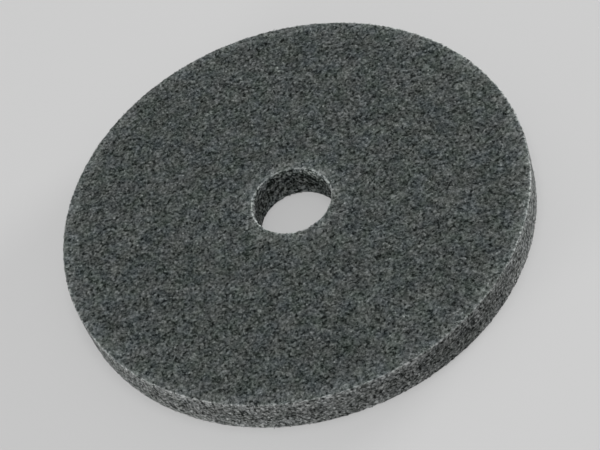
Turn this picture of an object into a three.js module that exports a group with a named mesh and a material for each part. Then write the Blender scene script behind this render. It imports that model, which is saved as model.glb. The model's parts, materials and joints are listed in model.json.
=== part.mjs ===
// A unitized abrasive wheel: one flat disc of compressed, resin-bonded fibre web,
// cut to a round outside with a plain round arbor hole through its middle.
// Millimetres, +Z up. The origin is on the hole's axis, in the plane of the lower face.
import * as THREE from 'three';

// Driving dimensions.
const OUTER_DIAMETER = 152.4;
const THICKNESS = 12.7;
const ARBOR_DIAMETER = 25.4; // the shaft that the wheel slides on
const ARBOR_CLEARANCE = 0.4; // what the hole is wider than the shaft
const RIM_EDGE_ROUND = 0.8; // radius that the cut web relaxes to along the outside edges
const BORE_EDGE_ROUND = 1.0; // the same along the edges of the hole

// Fineness of the faceted surface.
const SIDES_AROUND = 120;
const ARC_DIVISIONS = 2; // a quarter arc gets twice as many steps

// A round can take no more than this share of the wall it runs along.
const MOST_ROUND_SHARE = 0.45;

const outerRadius = OUTER_DIAMETER / 2;
const boreRadius = (ARBOR_DIAMETER + ARBOR_CLEARANCE) / 2;
const webWidth = outerRadius - boreRadius;
const mostRound = MOST_ROUND_SHARE * Math.min(THICKNESS, webWidth);
const rimRound = Math.min(RIM_EDGE_ROUND, mostRound);
const boreRound = Math.min(BORE_EDGE_ROUND, mostRound);

// Half section of the wheel, radius across and height up, drawn anticlockwise:
// up the outside, in along the upper face, down the hole and out along the lower face.
function wheelSection() {
  const quarter = Math.PI / 2;
  const section = new THREE.Path();
  section.moveTo(outerRadius, rimRound);
  section.lineTo(outerRadius, THICKNESS - rimRound);
  section.absarc(outerRadius - rimRound, THICKNESS - rimRound, rimRound, 0, quarter);
  section.lineTo(boreRadius + boreRound, THICKNESS);
  section.absarc(boreRadius + boreRound, THICKNESS - boreRound, boreRound, quarter, 2 * quarter);
  section.lineTo(boreRadius, boreRound);
  section.absarc(boreRadius + boreRound, boreRound, boreRound, 2 * quarter, 3 * quarter);
  section.lineTo(outerRadius - rimRound, 0);
  section.absarc(outerRadius - rimRound, rimRound, rimRound, 3 * quarter, 4 * quarter);
  return section.getPoints(ARC_DIVISIONS);
}

// Dark grey web of fibre and grit, fully matt.
function webMaterial() {
  return new THREE.MeshStandardMaterial({ color: 0x4a4f4d, roughness: 0.95, metalness: 0 });
}

// The lathe turns about Y, so the solid is tipped up to stand its axis along +Z.
function abrasiveWheel() {
  const turned = new THREE.LatheGeometry(wheelSection(), SIDES_AROUND);
  turned.rotateX(Math.PI / 2);
  const wheel = new THREE.Mesh(turned, webMaterial());
  wheel.name = 'abrasive_wheel';
  return wheel;
}

const part = new THREE.Group();
part.add(abrasiveWheel());

export default part;
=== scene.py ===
import bpy
import json
import math
import numpy as np
from mathutils import Matrix, Vector

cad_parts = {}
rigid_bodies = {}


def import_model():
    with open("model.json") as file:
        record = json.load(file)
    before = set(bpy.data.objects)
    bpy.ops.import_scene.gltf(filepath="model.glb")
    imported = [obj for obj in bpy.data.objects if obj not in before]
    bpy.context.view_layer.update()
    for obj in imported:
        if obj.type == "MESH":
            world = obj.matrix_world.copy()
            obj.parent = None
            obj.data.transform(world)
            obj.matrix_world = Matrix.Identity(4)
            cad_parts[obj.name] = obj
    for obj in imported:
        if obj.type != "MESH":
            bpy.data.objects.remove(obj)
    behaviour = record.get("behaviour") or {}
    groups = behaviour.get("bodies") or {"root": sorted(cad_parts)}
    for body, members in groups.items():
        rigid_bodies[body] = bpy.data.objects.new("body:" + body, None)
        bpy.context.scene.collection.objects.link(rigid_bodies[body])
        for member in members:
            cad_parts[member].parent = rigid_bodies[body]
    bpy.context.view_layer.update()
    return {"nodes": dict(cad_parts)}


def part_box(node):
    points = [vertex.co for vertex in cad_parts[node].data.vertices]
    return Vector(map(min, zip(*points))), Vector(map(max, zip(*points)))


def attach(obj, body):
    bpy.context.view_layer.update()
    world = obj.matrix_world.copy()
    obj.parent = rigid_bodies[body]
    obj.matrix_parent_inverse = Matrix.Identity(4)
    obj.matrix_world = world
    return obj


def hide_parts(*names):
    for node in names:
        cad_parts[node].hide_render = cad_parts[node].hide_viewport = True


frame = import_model()
mm = 0.001
fullTurn = 2 * math.pi
touch = 0.001 * mm             # closer than this counts as the same place

# the wheel's own sizes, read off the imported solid
wheelNode = frame["nodes"]["abrasive_wheel"]
wheelLow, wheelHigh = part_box("abrasive_wheel")
outerRadius = wheelHigh.x
thickness = wheelHigh.z - wheelLow.z
boreRadius = min(math.hypot(v.co.x, v.co.y) for v in wheelNode.data.vertices)
middleRadius = (outerRadius + boreRadius) / 2
print("frame: outer %.1f, bore %.1f, thick %.1f mm"
      % (outerRadius / mm, boreRadius / mm, thickness / mm))


# modelling helpers
def startClean():
    bpy.ops.object.select_all(action="DESELECT")


def makeActive(piece):
    startClean()
    piece.select_set(True)
    bpy.context.view_layer.objects.active = piece


def editMode(selectBy):
    bpy.ops.object.mode_set(mode="EDIT")
    bpy.ops.mesh.select_mode(type=selectBy)


def objectMode():
    bpy.ops.object.mode_set(mode="OBJECT")


def pick(piece, selectBy, wanted):
    editMode(selectBy)
    bpy.ops.mesh.select_all(action="DESELECT")
    objectMode()
    for part in piece.data.vertices if selectBy == "VERT" else piece.data.polygons:
        part.select = wanted(part)
    editMode(selectBy)


def applyModifier(piece, modifier):
    makeActive(piece)
    bpy.ops.object.modifier_apply(modifier=modifier.name)


def copyOf(original, name):
    makeActive(original)
    bpy.ops.object.duplicate()
    piece = bpy.context.object
    piece.name = name
    piece.data.name = name
    return piece


def readVerts(mesh):
    co = np.empty(len(mesh.vertices) * 3)
    mesh.vertices.foreach_get("co", co)
    return co.reshape(-1, 3)


def readNormals(mesh):
    normals = np.empty(len(mesh.vertices) * 3)
    mesh.vertex_normals.foreach_get("vector", normals)
    return normals.reshape(-1, 3)


# camera: same view of the upper face as the photograph, in its 600 x 450 frame
cameraView = {
    "imageSize": (600, 450),
    "lens": 114.75,            # mm
    "sensor": 36.0,            # mm, across the image
    "nearest": 10 * mm,
    "elevation": 49.92,        # degrees above the face
    "roll": -21.65,            # the wheel leans to the left in the frame
    "distance": 606.0 * mm,    # to the middle of the upper face, along the view
    "facePixel": (291.4, 200.1),
}


def makeCamera(view):
    width, height = view["imageSize"]
    data = bpy.data.cameras.new("studioCamera")
    data.sensor_width = view["sensor"]
    data.lens = view["lens"]
    data.clip_start = view["nearest"]
    camera = bpy.data.objects.new("studioCamera", data)
    bpy.context.scene.collection.objects.link(camera)
    tip = Matrix.Rotation(math.radians(90 - view["elevation"]), 4, "X")
    turn = tip @ Matrix.Rotation(math.radians(view["roll"]), 4, "Z")
    focal = view["lens"] / view["sensor"] * width
    across = (view["facePixel"][0] - width / 2) / focal
    down = (view["facePixel"][1] - height / 2) / focal
    toFace = turn @ Vector((across, -down, -1)) * view["distance"]
    camera.matrix_world = Matrix.Translation(Vector((0, 0, thickness)) - toFace) @ turn
    bpy.context.scene.camera = camera


makeCamera(cameraView)
print("camera placed")


# blank: the half section turned about the axis
webBlank = {
    "rimRound": 0.25 * mm,     # the lumps and fibres soften the edges further
    "boreRound": 0.25 * mm,
    "roundSteps": 4,
    "turnSteps": 240,
}


def makeSection(name, sizes):
    startClean()
    bpy.ops.mesh.primitive_plane_add(
        size=1, location=(middleRadius, 0, thickness / 2), rotation=(math.pi / 2, 0, 0))
    section = bpy.context.object
    section.name = name
    section.scale = (outerRadius - boreRadius, thickness, 1)
    bpy.ops.object.transform_apply(location=True, rotation=True, scale=True)
    for rounding, atCorner in (
            (sizes["rimRound"], lambda v: v.co.x > outerRadius - touch),
            (sizes["boreRound"], lambda v: v.co.x < boreRadius + touch)):
        pick(section, "VERT", atCorner)
        bpy.ops.mesh.bevel(offset=rounding, segments=sizes["roundSteps"], affect="VERTICES")
        objectMode()
    editMode("FACE")
    bpy.ops.mesh.select_all(action="SELECT")
    bpy.ops.mesh.delete(type="ONLY_FACE")
    bpy.ops.mesh.select_mode(type="VERT")
    bpy.ops.mesh.select_all(action="SELECT")
    # bevel leaves its edges in no fixed order, and the fibres are drawn in the faces' order
    bpy.ops.mesh.sort_elements(type="CURSOR_DISTANCE", elements={"VERT", "EDGE"})
    objectMode()
    return section


def makeBlank(name, sizes):
    blank = makeSection(name, sizes)
    turned = blank.modifiers.new("turned", "SCREW")
    turned.angle = fullTurn
    turned.steps = turned.render_steps = sizes["turnSteps"]
    turned.use_merge_vertices = True
    turned.use_normal_calculate = True
    applyModifier(blank, turned)
    editMode("FACE")
    bpy.ops.mesh.select_all(action="SELECT")
    bpy.ops.mesh.normals_make_consistent(inside=False)
    objectMode()
    return blank


# body: the blank remeshed to an even grain, then roughened
webBody = {
    "voxel": 0.68 * mm,
    "lumpSize": 0.9 * mm,
    "lumpPush": 0.34 * mm,
    "lumpLevel": 0.5,          # lumps push in as much as out
    "pitSize": 1.3 * mm,
    "pitDepth": 0.55 * mm,
    "pitLevel": 0.62,          # share of the pits' depth that lies under the nominal face
    "wallSlope": 0.5,          # a surface whose normal rises less than this is a cut wall
    "wallRough": 0.6,          # how rough the cut walls and the edges are beside the faces
    "edgeRough": 0.35,
    "edgeReach": 1.5 * mm,
    "roughSteps": 10,
}


def markRoughness(piece, outward, sizes):
    co = readVerts(piece.data)
    radius = np.hypot(co[:, 0], co[:, 1])
    fromWall = np.minimum(outerRadius - radius, radius - boreRadius)
    fromFace = np.minimum(thickness - co[:, 2], co[:, 2])
    onWall = np.abs(outward[:, 2]) < sizes["wallSlope"]
    fromEdge = np.where(onWall, fromFace, fromWall)
    share = np.clip(fromEdge / sizes["edgeReach"], 0, 1)
    rough = sizes["edgeRough"] + share * (np.where(onWall, sizes["wallRough"], 1) - sizes["edgeRough"])
    levels = np.round(rough * sizes["roughSteps"]).astype(int)
    group = piece.vertex_groups.new(name="roughness")
    for level in np.unique(levels):
        group.add(np.nonzero(levels == level)[0].tolist(), level / sizes["roughSteps"], "REPLACE")


def lumpTexture(size):
    texture = bpy.data.textures.new("webLumps", "CLOUDS")
    texture.cloud_type = "COLOR"
    texture.noise_scale = size
    texture.noise_depth = 1
    return texture


def pitTexture(size):
    texture = bpy.data.textures.new("webPits", "VORONOI")
    texture.noise_scale = size
    texture.distance_metric = "DISTANCE"
    return texture


def roughen(piece, texture, direction, strength, midLevel):
    push = piece.modifiers.new(texture.name, "DISPLACE")
    push.texture = texture
    push.texture_coords = "LOCAL"
    push.direction = direction
    push.strength = strength
    push.mid_level = midLevel
    push.vertex_group = "roughness"
    applyModifier(piece, push)


def storePits(piece, smoothPlace, outward):
    # how far each point lies under the smooth surface, in mm
    sunk = ((smoothPlace - readVerts(piece.data)) * outward).sum(axis=1) / mm
    pits = piece.data.attributes.new("pitDepth", "FLOAT", "POINT")
    pits.data.foreach_set("value", sunk)
    print("pits: %.2f to %.2f mm, mean %.2f" % (sunk.min(), sunk.max(), sunk.mean()))


# the bake's layout: two discs set corner to corner, the rim and the hole as strips beside them
webLayout = {
    "discSpan": 0.57,
    "discSlope": 0.7,          # a face whose normal rises more than this lies on a disc
    "lowerDisc": (0.29, 0.29),
    "upperDisc": (0.71, 0.71),
    "rimStrips": 5,
    "rimCorner": (0.015, 0.64),
    "boreCorner": (0.64, 0.015),
    "stripPitch": 0.065,
}


def onStrip(co, angle, isRim, layout, scale):
    strips = layout["rimStrips"]
    strip = int(angle / fullTurn * strips) if isRim else 0
    radius = outerRadius if isRim else boreRadius
    corner = layout["rimCorner"] if isRim else layout["boreCorner"]
    turn = math.atan2(co.y, co.x)
    turn += fullTurn * round((angle - turn) / fullTurn)
    along = (turn - strip * fullTurn / strips) * radius
    return corner[0] + along * scale, corner[1] + strip * layout["stripPitch"] + co.z * scale


def layOutBody(piece, layout):
    mesh = piece.data
    scale = layout["discSpan"] / (2 * outerRadius)
    uv = mesh.uv_layers.new(name="OFBake")
    for face in mesh.polygons:
        centre, normal = face.center, face.normal
        angle = math.atan2(centre.y, centre.x) % fullTurn
        isRim = math.hypot(centre.x, centre.y) > middleRadius
        for loop in face.loop_indices:
            co = mesh.vertices[mesh.loops[loop].vertex_index].co
            if abs(normal.z) > layout["discSlope"]:
                corner = layout["upperDisc"] if normal.z > 0 else layout["lowerDisc"]
                uv.data[loop].uv = (corner[0] + co.x * scale, corner[1] + co.y * scale)
            else:
                uv.data[loop].uv = onStrip(co, angle, isRim, layout, scale)


def makeBody(blank, sizes):
    body = copyOf(blank, "wheel_web")
    remesh = body.modifiers.new("evenGrain", "REMESH")
    remesh.mode = "VOXEL"
    remesh.voxel_size = sizes["voxel"]
    applyModifier(body, remesh)
    wrap = body.modifiers.new("ontoBlank", "SHRINKWRAP")
    wrap.target = blank
    applyModifier(body, wrap)
    layOutBody(body, webLayout)
    smoothPlace, outward = readVerts(body.data), readNormals(body.data)
    markRoughness(body, outward, sizes)
    roughen(body, lumpTexture(sizes["lumpSize"]), "RGB_TO_XYZ", sizes["lumpPush"], sizes["lumpLevel"])
    roughen(body, pitTexture(sizes["pitSize"]), "NORMAL", sizes["pitDepth"], sizes["pitLevel"])
    body.vertex_groups.clear()
    storePits(body, smoothPlace, outward)
    makeActive(body)
    bpy.ops.object.shade_smooth()
    return body


blank = makeBlank("wheel_blank", webBlank)
body = makeBody(blank, webBody)
print("body: %d faces" % len(body.data.polygons))


# loose fibres: five short crimped strands, scattered over each surface
strand = {
    "sides": 3,
    "radius": 0.11 * mm,
    "step": 0.28 * mm,
    "tipShare": 0.55,
    "unwrapAngle": 50,         # degrees
    "unwrapGap": 0.02,
    "cellMargin": 0.06,        # of the strand's cell in the bake
    # how far each next ring moves sideways, as shares of a step
    "crimps": {
        "arc": ((0.5, 0.1), (0.2, 0.2), (-0.1, 0.0), (-0.5, -0.2)),
        "wave": ((0.6, 0.2), (-0.5, 0.1), (-0.6, -0.1), (0.5, -0.1)),
        "hook": ((0.1, 0.2), (0.2, 0.1), (0.5, 0.0), (0.8, -0.3)),
        "kink": ((-0.1, 0.3), (0.8, 0.1), (-0.6, -0.2), (-0.2, -0.2)),
        "plain": ((0.1, 0.2), (0.0, 0.1), (0.15, -0.1), (-0.1, -0.2)),
    },
}


def makeStrand(name, moves, sizes):
    startClean()
    step, tip = sizes["step"], sizes["tipShare"]
    bpy.ops.mesh.primitive_circle_add(
        vertices=sizes["sides"], radius=sizes["radius"] * tip, fill_type="NGON",
        location=(-step * len(moves) / 2, 0, 0), rotation=(0, math.pi / 2, 0))
    fibre = bpy.context.object
    fibre.name = "strand_" + name
    bpy.ops.object.transform_apply(location=True, rotation=True, scale=True)
    editMode("FACE")
    bpy.ops.mesh.select_all(action="SELECT")
    for ring, (side, lift) in enumerate(moves):
        move = (step, side * step, lift * step)
        bpy.ops.mesh.extrude_region_move(TRANSFORM_OT_translate={"value": move})
        if ring == 0:
            bpy.ops.transform.resize(value=(1, 1 / tip, 1 / tip))
        if ring == len(moves) - 1:
            bpy.ops.transform.resize(value=(1, tip, tip))
    bpy.ops.mesh.select_all(action="SELECT")
    bpy.ops.mesh.normals_make_consistent(inside=False)
    bpy.ops.uv.smart_project(
        angle_limit=math.radians(sizes["unwrapAngle"]), island_margin=sizes["unwrapGap"],
        scale_to_bounds=True)
    objectMode()
    bpy.ops.object.shade_smooth()
    fibre.data.uv_layers[0].name = "OFBake"
    return fibre


def makeStrands(sizes):
    rack = bpy.data.collections.new("strandRack")
    for name, moves in sizes["crimps"].items():
        fibre = makeStrand(name, moves, sizes)
        for home in list(fibre.users_collection):
            home.objects.unlink(fibre)
        rack.objects.link(fibre)
    return rack


# where the strands lie: how many, how far they turn from the run of the edge (degrees),
# how they roll and tilt (degrees), how they lift (mm), and their scale along and across
levelSlope, uprightSlope = 0.99, 0.01
faceBed = {
    "perSquareMm": 0.40, "turn": 180, "roll": 40, "tilt": 6, "lift": (-0.12, 0.06),
    "long": (0.5, 1.1), "thick": (0.7, 1.1),
}
fibreBeds = {
    "upper_face_fibres": {**faceBed, "seed": 3, "bed": lambda face: face.normal.z > levelSlope},
    "lower_face_fibres": {**faceBed, "seed": 11, "bed": lambda face: face.normal.z < -levelSlope},
    "wall_fibres": {
        "seed": 23, "bed": lambda face: abs(face.normal.z) < uprightSlope,
        "perSquareMm": 0.10, "turn": 180, "roll": 25, "tilt": 3, "lift": (-0.18, -0.06),
        "long": (0.5, 1.0), "thick": (0.7, 1.1)},
    "edge_fibres": {
        "seed": 37, "bed": lambda face: uprightSlope < abs(face.normal.z) < levelSlope,
        "perSquareMm": 1.2, "turn": 70, "roll": 15, "tilt": 3, "lift": (-0.22, -0.12),
        "long": (0.5, 1.0), "thick": (0.7, 1.1)},
}


def randomVector(tree, low, high, seed):
    node = tree.nodes.new("FunctionNodeRandomValue")
    node.data_type = "FLOAT_VECTOR"
    node.inputs[0].default_value = low
    node.inputs[1].default_value = high
    node.inputs["Seed"].default_value = seed
    return node.outputs[0]


def randomNumber(tree, low, high, seed):
    node = tree.nodes.new("FunctionNodeRandomValue")
    node.data_type = "FLOAT"
    node.inputs[2].default_value = low
    node.inputs[3].default_value = high
    node.inputs["Seed"].default_value = seed
    return node.outputs[1]


def liftedSpots(tree, spots, bed):
    lift = tree.nodes.new("ShaderNodeVectorMath")
    lift.operation = "SCALE"
    tree.links.new(spots.outputs["Normal"], lift.inputs[0])
    low, high = bed["lift"]
    tree.links.new(randomNumber(tree, low * mm, high * mm, bed["seed"] + 1), lift.inputs["Scale"])
    raised = tree.nodes.new("GeometryNodeSetPosition")
    tree.links.new(spots.outputs["Points"], raised.inputs["Geometry"])
    tree.links.new(lift.outputs[0], raised.inputs["Offset"])
    return raised.outputs[0]


def strandTurn(tree, spots, bed):
    # along the run of the edge, then turned and tilted
    around = tree.nodes.new("ShaderNodeVectorMath")
    around.operation = "CROSS_PRODUCT"
    around.inputs[0].default_value = (0, 0, 1)
    tree.links.new(tree.nodes.new("GeometryNodeInputPosition").outputs[0], around.inputs[1])
    align = tree.nodes.new("FunctionNodeAlignRotationToVector")
    align.axis = "X"
    align.pivot_axis = "Z"
    tree.links.new(spots.outputs["Rotation"], align.inputs["Rotation"])
    tree.links.new(around.outputs[0], align.inputs["Vector"])
    most = Vector([math.radians(bed[way]) for way in ("roll", "tilt", "turn")])
    angles = tree.nodes.new("FunctionNodeEulerToRotation")
    tree.links.new(randomVector(tree, -most, most, bed["seed"] + 2), angles.inputs[0])
    turned = tree.nodes.new("FunctionNodeRotateRotation")
    turned.rotation_space = "LOCAL"
    tree.links.new(align.outputs[0], turned.inputs[0])
    tree.links.new(angles.outputs[0], turned.inputs[1])
    return turned.outputs[0]


def strandScale(tree, bed):
    low, high = [(bed["long"][end], bed["thick"][end], bed["thick"][end]) for end in (0, 1)]
    return randomVector(tree, low, high, bed["seed"] + 3)


def scatterTree(name, bed, rack):
    tree = bpy.data.node_groups.new(name, "GeometryNodeTree")
    link = tree.links.new
    for side in ("INPUT", "OUTPUT"):
        tree.interface.new_socket("Geometry", in_out=side, socket_type="NodeSocketGeometry")
    start = tree.nodes.new("NodeGroupInput")
    end = tree.nodes.new("NodeGroupOutput")
    spots = tree.nodes.new("GeometryNodeDistributePointsOnFaces")
    spots.inputs["Density"].default_value = bed["perSquareMm"] / (mm * mm)
    spots.inputs["Seed"].default_value = bed["seed"]
    link(start.outputs[0], spots.inputs["Mesh"])
    strands = tree.nodes.new("GeometryNodeCollectionInfo")
    strands.inputs["Collection"].default_value = rack
    strands.inputs["Separate Children"].default_value = True
    strands.inputs["Reset Children"].default_value = True
    placed = tree.nodes.new("GeometryNodeInstanceOnPoints")
    placed.inputs["Pick Instance"].default_value = True
    link(strands.outputs[0], placed.inputs["Instance"])
    link(liftedSpots(tree, spots, bed), placed.inputs["Points"])
    link(strandTurn(tree, spots, bed), placed.inputs["Rotation"])
    link(strandScale(tree, bed), placed.inputs["Scale"])
    tone = tree.nodes.new("GeometryNodeStoreNamedAttribute")
    tone.domain = "INSTANCE"
    tone.inputs["Name"].default_value = "strandTone"
    link(placed.outputs[0], tone.inputs["Geometry"])
    link(randomNumber(tree, 0.0, 1.0, bed["seed"] + 4), tone.inputs["Value"])
    real = tree.nodes.new("GeometryNodeRealizeInstances")
    link(tone.outputs[0], real.inputs[0])
    link(real.outputs[0], end.inputs[0])
    return tree


def spreadLayout(piece, cornersEach, margin):
    # every strand gets its own cell of the bake
    layer = piece.data.uv_layers["OFBake"].data
    corners = len(layer)
    uv = np.empty(corners * 2)
    layer.foreach_get("uv", uv)
    cell = np.arange(corners) // cornersEach
    wide = math.ceil(math.sqrt(corners / cornersEach))
    place = np.stack([cell % wide, cell // wide], axis=1)
    uv = (place + margin + (1 - 2 * margin) * uv.reshape(corners, 2)) / wide
    layer.foreach_set("uv", uv.ravel())


def makeFibres(name, bed, blank, rack):
    piece = copyOf(blank, name)
    pick(piece, "FACE", lambda face: not bed["bed"](face))
    bpy.ops.mesh.delete(type="FACE")
    objectMode()
    scatter = piece.modifiers.new("scatter", "NODES")
    scatter.node_group = scatterTree(name + "_scatter", bed, rack)
    applyModifier(piece, scatter)
    spreadLayout(piece, len(rack.objects[0].data.loops), strand["cellMargin"])
    return piece


rack = makeStrands(strand)
fibres = [makeFibres(name, bed, blank, rack) for name, bed in fibreBeds.items()]


# shader helpers
noiseKinds = {                 # detail and roughness
    "plain": (1.0, 0.5),
    "soft": (2.0, 0.5),
    "fine": (2.0, 0.55),
    "frayed": (2.0, 0.6),
}


def addNode(tree, kind, **settings):
    node = tree.nodes.new(kind)
    for key, value in settings.items():
        setattr(node, key, value)
    return node


def join(tree, start, end):
    tree.links.new(start, end)


def mathNode(tree, operation, first, second=0.0):
    node = addNode(tree, "ShaderNodeMath", operation=operation)
    for socket, value in zip(node.inputs, (first, second)):
        if isinstance(value, (int, float)):
            socket.default_value = value
        else:
            join(tree, value, socket)
    return node.outputs[0]


def rangeNode(tree, value, fromMin, fromMax, toMin, toMax, smooth=False):
    node = addNode(tree, "ShaderNodeMapRange")
    node.interpolation_type = "SMOOTHSTEP" if smooth else "LINEAR"
    join(tree, value, node.inputs["Value"])
    for name, number in (("From Min", fromMin), ("From Max", fromMax),
                         ("To Min", toMin), ("To Max", toMax)):
        node.inputs[name].default_value = number
    return node.outputs["Result"]


def evenSpread(tree, value, levels, span):
    return rangeNode(tree, value, *levels, -span / 2, span / 2)


def noiseNode(tree, vector, size, kind, output="Fac"):
    node = addNode(tree, "ShaderNodeTexNoise")
    join(tree, vector, node.inputs["Vector"])
    node.inputs["Scale"].default_value = 1 / size
    node.inputs["Detail"].default_value, node.inputs["Roughness"].default_value = noiseKinds[kind]
    return node.outputs[output]


def cellNode(tree, vector, size):
    cells = addNode(tree, "ShaderNodeTexVoronoi")
    join(tree, vector, cells.inputs["Vector"])
    cells.inputs["Scale"].default_value = 1 / size
    chance = addNode(tree, "ShaderNodeSeparateColor")
    join(tree, cells.outputs["Color"], chance.inputs[0])
    return cells.outputs["Distance"], chance.outputs[0]


def lengthNode(tree, vector):
    node = addNode(tree, "ShaderNodeVectorMath", operation="LENGTH")
    join(tree, vector, node.inputs[0])
    return node.outputs["Value"]


def mixColours(tree, factor, first, second):
    mix = addNode(tree, "ShaderNodeMix", data_type="RGBA")
    join(tree, factor, mix.inputs["Factor"])
    colours = [socket for socket in mix.inputs if socket.type == "RGBA"]
    for socket, colour in zip(colours, (first, second)):
        if isinstance(colour, tuple):
            socket.default_value = colour
        else:
            join(tree, colour, socket)
    return [socket for socket in mix.outputs if socket.type == "RGBA"][0]


def gammaNode(tree, colour, power):
    node = addNode(tree, "ShaderNodeGamma")
    join(tree, colour, node.inputs["Color"])
    node.inputs["Gamma"].default_value = power
    return node.outputs[0]


def newGroup(name, inputs, outputs):
    tree = bpy.data.node_groups.new(name, "ShaderNodeTree")
    for side, sockets in (("INPUT", inputs), ("OUTPUT", outputs)):
        for socket, kind in sockets.items():
            tree.interface.new_socket(socket, in_out=side, socket_type="NodeSocket" + kind)
    return tree, addNode(tree, "NodeGroupInput").outputs, addNode(tree, "NodeGroupOutput").inputs


# grain of the pressed web: mixed grit, irregular pores in it whose darkness is painted shade, and a slow
# mottle
webGrain = {
    "warpSize": 0.6 * mm,
    "warpPush": 0.4 * mm,        # the grains' outlines are pulled about by this much
    "cloudSize": 0.88 * mm,
    "cloudShare": 1.0,
    "gritSize": 0.80 * mm,
    "gritShare": 0.45,
    "mottleSize": 3.5 * mm,
    "mottleShare": 0.20,
    "poreSize": 1.10 * mm,
    "poreLevel": (0.28, 0.46),   # noise levels between a full pore and none
    "dotPitch": 1.45 * mm,       # round pores, and pale specks of grit
    "speckPitch": 1.5 * mm,
    "speckShare": 0.60,
    "dotReach": (0.08, 0.32),    # full and faded dot, as shares of the pitch
    "dotVary": 0.20,             # how much smaller a dot can be
    "spread": (0.25, 0.75),      # noise levels that count as darkest and palest
}


def dotField(tree, vector, pitch, sizes):
    away, chance = cellNode(tree, vector, pitch)
    away = mathNode(tree, "ADD", away, mathNode(tree, "MULTIPLY", chance, sizes["dotVary"]))
    return rangeNode(tree, away, *sizes["dotReach"], 1.0, 0.0, True)


def makeGrainGroup(sizes):
    tree, given, result = newGroup(
        "webGrain", {"Vector": "Vector"}, {"Tone": "Float", "Pore": "Float", "Height": "Float"})
    plain = given["Vector"]
    warp = addNode(tree, "ShaderNodeVectorMath", operation="MULTIPLY_ADD")
    join(tree, noiseNode(tree, plain, sizes["warpSize"], "plain", "Color"), warp.inputs[0])
    warp.inputs[1].default_value = (sizes["warpPush"],) * 3
    join(tree, plain, warp.inputs[2])
    warped = warp.outputs[0]
    cloud = noiseNode(tree, plain, sizes["cloudSize"], "fine")
    tone = evenSpread(tree, cloud, sizes["spread"], sizes["cloudShare"])
    grit = cellNode(tree, warped, sizes["gritSize"])[1]
    tone = mathNode(tree, "ADD", tone, evenSpread(tree, grit, (0.0, 1.0), sizes["gritShare"]))
    mottle = noiseNode(tree, plain, sizes["mottleSize"], "plain")
    tone = mathNode(tree, "ADD", tone, evenSpread(tree, mottle, sizes["spread"], sizes["mottleShare"]))
    speck = dotField(tree, plain, sizes["speckPitch"], sizes)
    tone = mathNode(tree, "ADD", tone, mathNode(tree, "MULTIPLY", speck, sizes["speckShare"]))
    # the pores: their mask darkens the colour as painted shade and sinks the bump
    poreShade = noiseNode(tree, warped, sizes["poreSize"], "plain")
    poreShade = rangeNode(tree, poreShade, *sizes["poreLevel"], 1.0, 0.0, True)
    poreShade = mathNode(tree, "MAXIMUM", poreShade, dotField(tree, warped, sizes["dotPitch"], sizes))
    join(tree, tone, result["Tone"])
    join(tree, poreShade, result["Pore"])
    join(tree, mathNode(tree, "SUBTRACT", tone, poreShade), result["Height"])
    return tree


# cut edges: a thin broken pale line along each, partly paler fibre ends and partly a painted highlight,
# paler web beside it, and the cut walls
cutEdge = {
    "frayReach": 6.5 * mm,
    "fibreGlintReach": (0.15 * mm, 0.6 * mm),
    "fibreGlintGaps": (0.40, 0.62),    # noise levels between the faintest and the full line
    "faintest": 0.48,
    "gapSize": 1.0 * mm,
    "wallShare": 0.8,            # how much less far both reach down the walls
    "raggedSize": 0.8 * mm,
    "raggedPush": 0.2 * mm,
    "raggedSpread": (0.3, 0.7),
    "wallBlend": 0.3 * mm,
}


def gapTo(tree, value, level):
    return mathNode(tree, "ABSOLUTE", mathNode(tree, "SUBTRACT", value, level))


def squared(tree, value):
    return mathNode(tree, "MULTIPLY", value, value)


def wallGaps(tree, vector):
    # radius of a point, and how far it lies from the nearer wall and the nearer face
    parts = addNode(tree, "ShaderNodeSeparateXYZ")
    join(tree, vector, parts.inputs[0])
    flat = addNode(tree, "ShaderNodeCombineXYZ")
    for way in ("X", "Y"):
        join(tree, parts.outputs[way], flat.inputs[way])
    radius = lengthNode(tree, flat.outputs[0])
    fromWall = mathNode(
        tree, "MINIMUM", gapTo(tree, radius, outerRadius), gapTo(tree, radius, boreRadius))
    fromFace = gapTo(tree, gapTo(tree, parts.outputs["Z"], thickness / 2), thickness / 2)
    return radius, fromWall, fromFace


def makeEdgeGroup(sizes):
    tree, given, result = newGroup(
        "cutEdge", {"Vector": "Vector"}, {"Fray": "Float", "Line": "Float", "Rim": "Float", "Bore": "Float"})
    vector = given["Vector"]
    radius, fromWall, fromFace = wallGaps(tree, vector)
    downWall = mathNode(tree, "DIVIDE", fromFace, sizes["wallShare"])
    away = mathNode(
        tree, "SQRT", mathNode(tree, "ADD", squared(tree, fromWall), squared(tree, downWall)))
    ragged = noiseNode(tree, vector, sizes["raggedSize"], "frayed")
    away = mathNode(
        tree, "ADD", away, evenSpread(tree, ragged, sizes["raggedSpread"], sizes["raggedPush"]))
    fray = rangeNode(tree, away, 0.0, sizes["frayReach"], 1.0, 0.0, True)
    # the pale line at each edge: paler fibre ends, with a painted highlight on them
    line = rangeNode(tree, away, *sizes["fibreGlintReach"], 1.0, 0.0, True)
    gaps = noiseNode(tree, vector, sizes["gapSize"], "frayed")
    gaps = rangeNode(tree, gaps, *sizes["fibreGlintGaps"], sizes["faintest"], 1.0)
    blend = sizes["wallBlend"]
    wall = rangeNode(
        tree, mathNode(tree, "SUBTRACT", fromFace, fromWall), -blend, blend, 0.0, 1.0, True)
    rim = mathNode(tree, "MULTIPLY", wall, mathNode(tree, "GREATER_THAN", radius, middleRadius))
    join(tree, fray, result["Fray"])
    join(tree, mathNode(tree, "MULTIPLY", line, gaps), result["Line"])
    join(tree, rim, result["Rim"])
    join(tree, mathNode(tree, "SUBTRACT", wall, rim), result["Bore"])
    return tree


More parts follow.
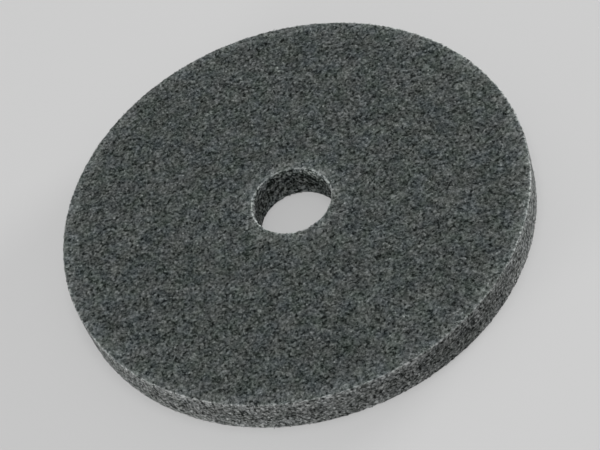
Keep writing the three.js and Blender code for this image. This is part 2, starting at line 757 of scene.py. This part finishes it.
# slow drift of colour across the web
toneDrift = {
    "size": 5 * mm,
    "spread": (0.36, 0.64),      # noise levels between one colour and the next
    "mossy": (0.0624, 0.0757, 0.0678, 1),
    "slate": (0.0626, 0.0742, 0.0761, 1),
    "warm": (0.0702, 0.0738, 0.0698, 1),
    "warmSize": 7 * mm,
    "warmShare": 0.6,
    "rim": (0.0712, 0.0735, 0.0715, 1),
    "rimShare": 0.65,
}


def makeDriftGroup(values):
    tree, given, result = newGroup(
        "toneDrift", {"Vector": "Vector", "Rim": "Float"}, {"Colour": "Color"})
    drift = noiseNode(tree, given["Vector"], values["size"], "soft")
    drift = rangeNode(tree, drift, *values["spread"], 0.0, 1.0)
    web = mixColours(tree, drift, values["mossy"], values["slate"])
    warmth = noiseNode(tree, given["Vector"], values["warmSize"], "soft")
    warmth = rangeNode(tree, warmth, *values["spread"], 0.0, values["warmShare"])
    web = mixColours(tree, warmth, web, values["warm"])
    onRim = mathNode(tree, "MULTIPLY", given["Rim"], values["rimShare"])
    join(tree, mixColours(tree, onRim, web, values["rim"]), result["Colour"])
    return tree


grainGroup = makeGrainGroup(webGrain)
edgeGroup = makeEdgeGroup(cutEdge)
driftGroup = makeDriftGroup(toneDrift)
print("grain, edge and drift groups made")


# both materials: matt, with tones as shares of the plain web's lightness to the eye,
# so 0 is the drift's colour and 0.5 about half as light again
webFinish = {
    "roughness": 0.95,
    "specular": 0.2,
    "plainLight": 0.307,         # lightness of the plain web to the eye
    "eyePower": 2.2,             # from lightness to the eye to light given back
    "toneLimits": (-0.75, 1.2),
}


def placeGroup(tree, group, vector):
    node = addNode(tree, "ShaderNodeGroup", node_tree=group)
    join(tree, vector, node.inputs["Vector"])
    return node


def startMaterial(name):
    material = bpy.data.materials.new(name)
    material.use_nodes = True
    tree = material.node_tree
    shader = tree.nodes["Principled BSDF"]
    shader.inputs["Roughness"].default_value = webFinish["roughness"]
    shader.inputs["Specular IOR Level"].default_value = webFinish["specular"]
    place = addNode(tree, "ShaderNodeTexCoord").outputs["Object"]
    grain = placeGroup(tree, grainGroup, place)
    edge = placeGroup(tree, edgeGroup, place)
    drift = placeGroup(tree, driftGroup, place)
    join(tree, edge.outputs["Rim"], drift.inputs["Rim"])
    return material, shader, grain.outputs, edge.outputs, drift.outputs["Colour"]


def addTones(tree, total, parts):
    for value, share in parts:
        total = mathNode(tree, "ADD", total, mathNode(tree, "MULTIPLY", value, share))
    return total


def edgeTones(edge, values):
    return [(edge[kind], values[kind.lower()]) for kind in ("Rim", "Bore", "Fray", "Line")]


def setColour(tree, shader, drift, tone):
    # every tone lightens or darkens by grey, so the palest grit is hardly tinted
    darkest, palest = webFinish["toneLimits"]
    tone = mathNode(tree, "MINIMUM", mathNode(tree, "MAXIMUM", tone, darkest), palest)
    light = addNode(tree, "ShaderNodeVectorMath", operation="ADD")
    join(tree, gammaNode(tree, drift, 1 / webFinish["eyePower"]), light.inputs[0])
    join(tree, mathNode(tree, "MULTIPLY", tone, webFinish["plainLight"]), light.inputs[1])
    join(tree, gammaNode(tree, light.outputs[0], webFinish["eyePower"]), shader.inputs["Base Color"])


pressedWeb = {
    "base": 0.09,
    "grain": 1.0,
    # the pores' darkening is painted shade in the holes of the web
    "poreShade": -0.66,
    "rimGrain": 0.40,            # how much stronger the grain is on the cut walls
    # the hole's wall gets much stronger grain, which deepens the pores' painted shade there
    "boreGrain": 1.35,
    # darkening by pit depth: painted shade in the pits, with darker resin in them
    "pitShadeAndResin": -0.35,                # per mm of depth
    "rim": 0.10,
    # the hole's wall is paler: the cut fibres' own paleness, and partly painted light lifting the hole's
    # shade
    "bore": 0.14,
    "fray": 0.26,
    # pale edge line: paler fibre ends and a painted highlight
    "line": 1.12,
    "bump": 0.5,
    "bumpDepth": 0.25 * mm,
}


def makeWebMaterial(values):
    material, shader, grain, edge, drift = startMaterial("pressed_web")
    tree = material.node_tree
    sharper = addTones(tree, 1.0, [(edge["Rim"], values["rimGrain"]), (edge["Bore"], values["boreGrain"])])
    marks = addTones(tree, 0.0, [(grain["Tone"], values["grain"]), (grain["Pore"], values["poreShade"])])
    # the pits darken by their depth: painted shade, with darker resin
    pits = addNode(tree, "ShaderNodeAttribute", attribute_name="pitDepth").outputs["Fac"]
    tone = addTones(
        tree, values["base"], [(marks, sharper), (pits, values["pitShadeAndResin"]), *edgeTones(edge, values)])
    setColour(tree, shader, drift, tone)
    bump = addNode(tree, "ShaderNodeBump")
    bump.inputs["Strength"].default_value = values["bump"]
    bump.inputs["Distance"].default_value = values["bumpDepth"]
    join(tree, grain["Height"], bump.inputs["Height"])
    join(tree, bump.outputs["Normal"], shader.inputs["Normal"])
    return material


looseFibre = {
    "tone": (-0.18, 0.30),       # darkest and palest strand
    "grain": 0.35,
    "rim": 0.10,
    # the hole's wall is paler: the cut fibres' own paleness, and partly painted light lifting the hole's
    # shade
    "bore": 0.18,
    "fray": 0.10,
    # pale edge line: paler fibre ends and a painted highlight
    "line": 0.40,
}


def makeFibreMaterial(values):
    material, shader, grain, edge, drift = startMaterial("loose_fibre")
    tree = material.node_tree
    own = addNode(tree, "ShaderNodeAttribute", attribute_name="strandTone").outputs["Fac"]
    own = rangeNode(tree, own, 0.0, 1.0, *values["tone"])
    tone = addTones(tree, own, [(grain["Tone"], values["grain"]), *edgeTones(edge, values)])
    setColour(tree, shader, drift, tone)
    return material


def dress(piece, material):
    piece.data.materials.clear()
    piece.data.materials.append(material)
    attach(piece, "root")


fibreMaterial = makeFibreMaterial(looseFibre)
for piece in fibres:
    dress(piece, fibreMaterial)
dress(body, makeWebMaterial(pressedWeb))
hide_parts("abrasive_wheel")
print("web and fibres dressed")


# floor and light
studio = {
    "floorSpan": 20.0,
    "floorGap": 0.05 * mm,
    "colour": (0.66, 0.66, 0.66, 1),
    "ownGlow": 0.45,             # share of the floor beside the wheel that no shadow dims
    "glowFrom": (0.15, 0.80),    # further out the floor is all glow, as pale as the surround
    "fill": 0.37,
}


def seenRay(tree):
    path = addNode(tree, "ShaderNodeLightPath")
    seen = path.outputs["Is Camera Ray"]
    for ray in ("Is Glossy Ray", "Is Transmission Ray"):
        seen = mathNode(tree, "MAXIMUM", seen, path.outputs[ray])
    return seen


def makeFloorMaterial(values):
    material = bpy.data.materials.new("pale_floor")
    material.use_nodes = True
    tree = material.node_tree
    tree.nodes.clear()
    away = lengthNode(tree, addNode(tree, "ShaderNodeTexCoord").outputs["Object"])
    own = rangeNode(tree, away, *values["glowFrom"], values["ownGlow"], 1.0, True)
    matt = addNode(tree, "ShaderNodeBsdfDiffuse")
    matt.inputs["Color"].default_value = values["colour"]
    glow = addNode(tree, "ShaderNodeEmission")
    glow.inputs["Color"].default_value = values["colour"]
    blend = addNode(tree, "ShaderNodeMixShader")
    join(tree, mathNode(tree, "MULTIPLY", seenRay(tree), own), blend.inputs[0])
    join(tree, matt.outputs[0], blend.inputs[1])
    join(tree, glow.outputs[0], blend.inputs[2])
    end = addNode(tree, "ShaderNodeOutputMaterial")
    join(tree, blend.outputs[0], end.inputs["Surface"])
    return material


def makeFloor(values):
    startClean()
    bpy.ops.mesh.primitive_plane_add(size=values["floorSpan"], location=(0, 0, -values["floorGap"]))
    floor = bpy.context.object
    floor.name = "studio_floor"
    floor.data.materials.append(makeFloorMaterial(values))


def makeSurround(values):
    world = bpy.data.worlds.new("studio_surround")
    bpy.context.scene.world = world
    world.use_nodes = True
    tree = world.node_tree
    fill = (values["fill"],) * 3 + (1,)
    colour = mixColours(tree, seenRay(tree), fill, values["colour"])
    join(tree, colour, tree.nodes["Background"].inputs["Color"])


# turn and rise in degrees, away and span in metres, power in watts
lamps = {
    "leftBox": {"turn": 207, "rise": 7, "away": 1.1, "span": (0.5, 0.2), "power": 7.2},
    "rightBox": {"turn": 26, "rise": 8, "away": 1.1, "span": (0.5, 0.2), "power": 14.6},
    "topBox": {"turn": 290, "rise": 84, "away": 1.1, "span": (0.6, 0.6), "power": 3.6},
}


def makeLamp(name, lamp):
    data = bpy.data.lights.new(name, "AREA")
    data.shape = "ELLIPSE"
    data.size, data.size_y = lamp["span"]
    data.energy = lamp["power"]
    box = bpy.data.objects.new(name, data)
    bpy.context.scene.collection.objects.link(box)
    turn, rise = math.radians(lamp["turn"]), math.radians(lamp["rise"])
    aim = Vector((math.cos(turn) * math.cos(rise), math.sin(turn) * math.cos(rise), math.sin(rise)))
    box.location = aim * lamp["away"]
    box.rotation_euler = aim.to_track_quat("Z", "Y").to_euler()


makeFloor(studio)
for name, lamp in lamps.items():
    makeLamp(name, lamp)
makeSurround(studio)
bpy.context.scene.view_settings.view_transform = "Standard"
print("studio set")

for spare in [blank, *rack.objects]:
    bpy.data.objects.remove(spare)
